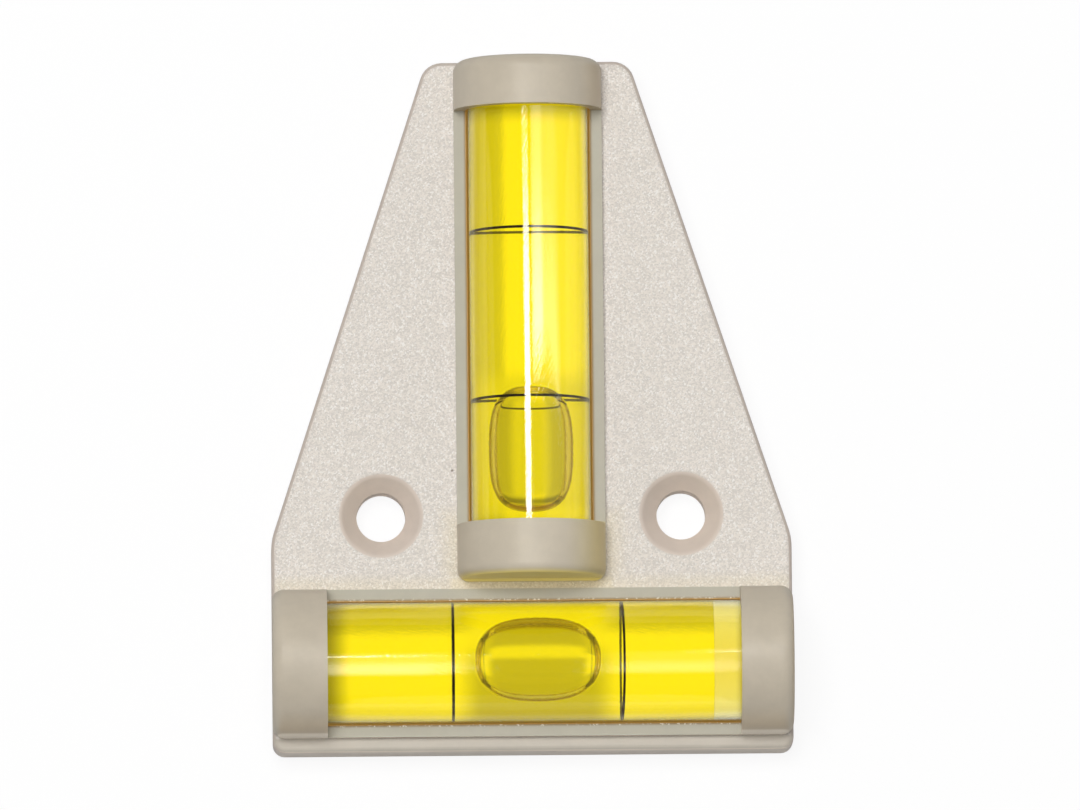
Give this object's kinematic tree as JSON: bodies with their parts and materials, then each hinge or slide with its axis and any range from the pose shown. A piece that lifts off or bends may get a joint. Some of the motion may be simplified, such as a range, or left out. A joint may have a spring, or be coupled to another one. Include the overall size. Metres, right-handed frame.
{
  "type": "recreational vehicle level",
  "caption": "Screw-on T-shaped vehicle level: ivory moulded plate with tapered sides and yellow bubble vials at right angles under end hoods.",
  "frame": {"origin": "middle of the back plane, the face that is screwed to the vehicle, under the centre of the bounding box", "axes": "+Z out of the plate towards the viewer; +Y towards the narrow end, along the long vial; +X to the right, along the cross vial"},
  "size_m": [0.052, 0.0692, 0.0137],
  "materials": {
    "ivory_plastic": "satin",
    "clear_acrylic": "polished",
    "plug_acrylic": "polished",
    "black_ring": "matte",
    "yellow_liquid": "polished",
    "bubble": "polished"
  },
  "bodies": {
    "level": {"housing": "ivory_plastic", "cross_vial_barrel": "clear_acrylic", "cross_vial_plug": "plug_acrylic", "cross_vial_ring_left": "black_ring", "cross_vial_ring_right": "black_ring", "cross_vial_liquid": "yellow_liquid", "long_vial_barrel": "clear_acrylic", "long_vial_plug": "plug_acrylic", "long_vial_ring_lower": "black_ring", "long_vial_ring_upper": "black_ring", "long_vial_liquid": "yellow_liquid"},
    "cross_bubble": {"cross_vial_bubble": "bubble"},
    "long_bubble": {"long_vial_bubble": "bubble"}
  },
  "joints": [
    {"name": "cross_bubble_slide", "type": "slide", "parent": "level", "child": "cross_bubble", "axis": [1, 0, 0], "range_m": [-0.0149, 0.011], "deforming": ["cross_vial_liquid"]},
    {"name": "long_bubble_slide", "type": "slide", "parent": "level", "child": "long_bubble", "axis": [0, 1, 0], "range_m": [-0.0013, 0.0282], "deforming": ["long_vial_liquid"]}
  ]
}
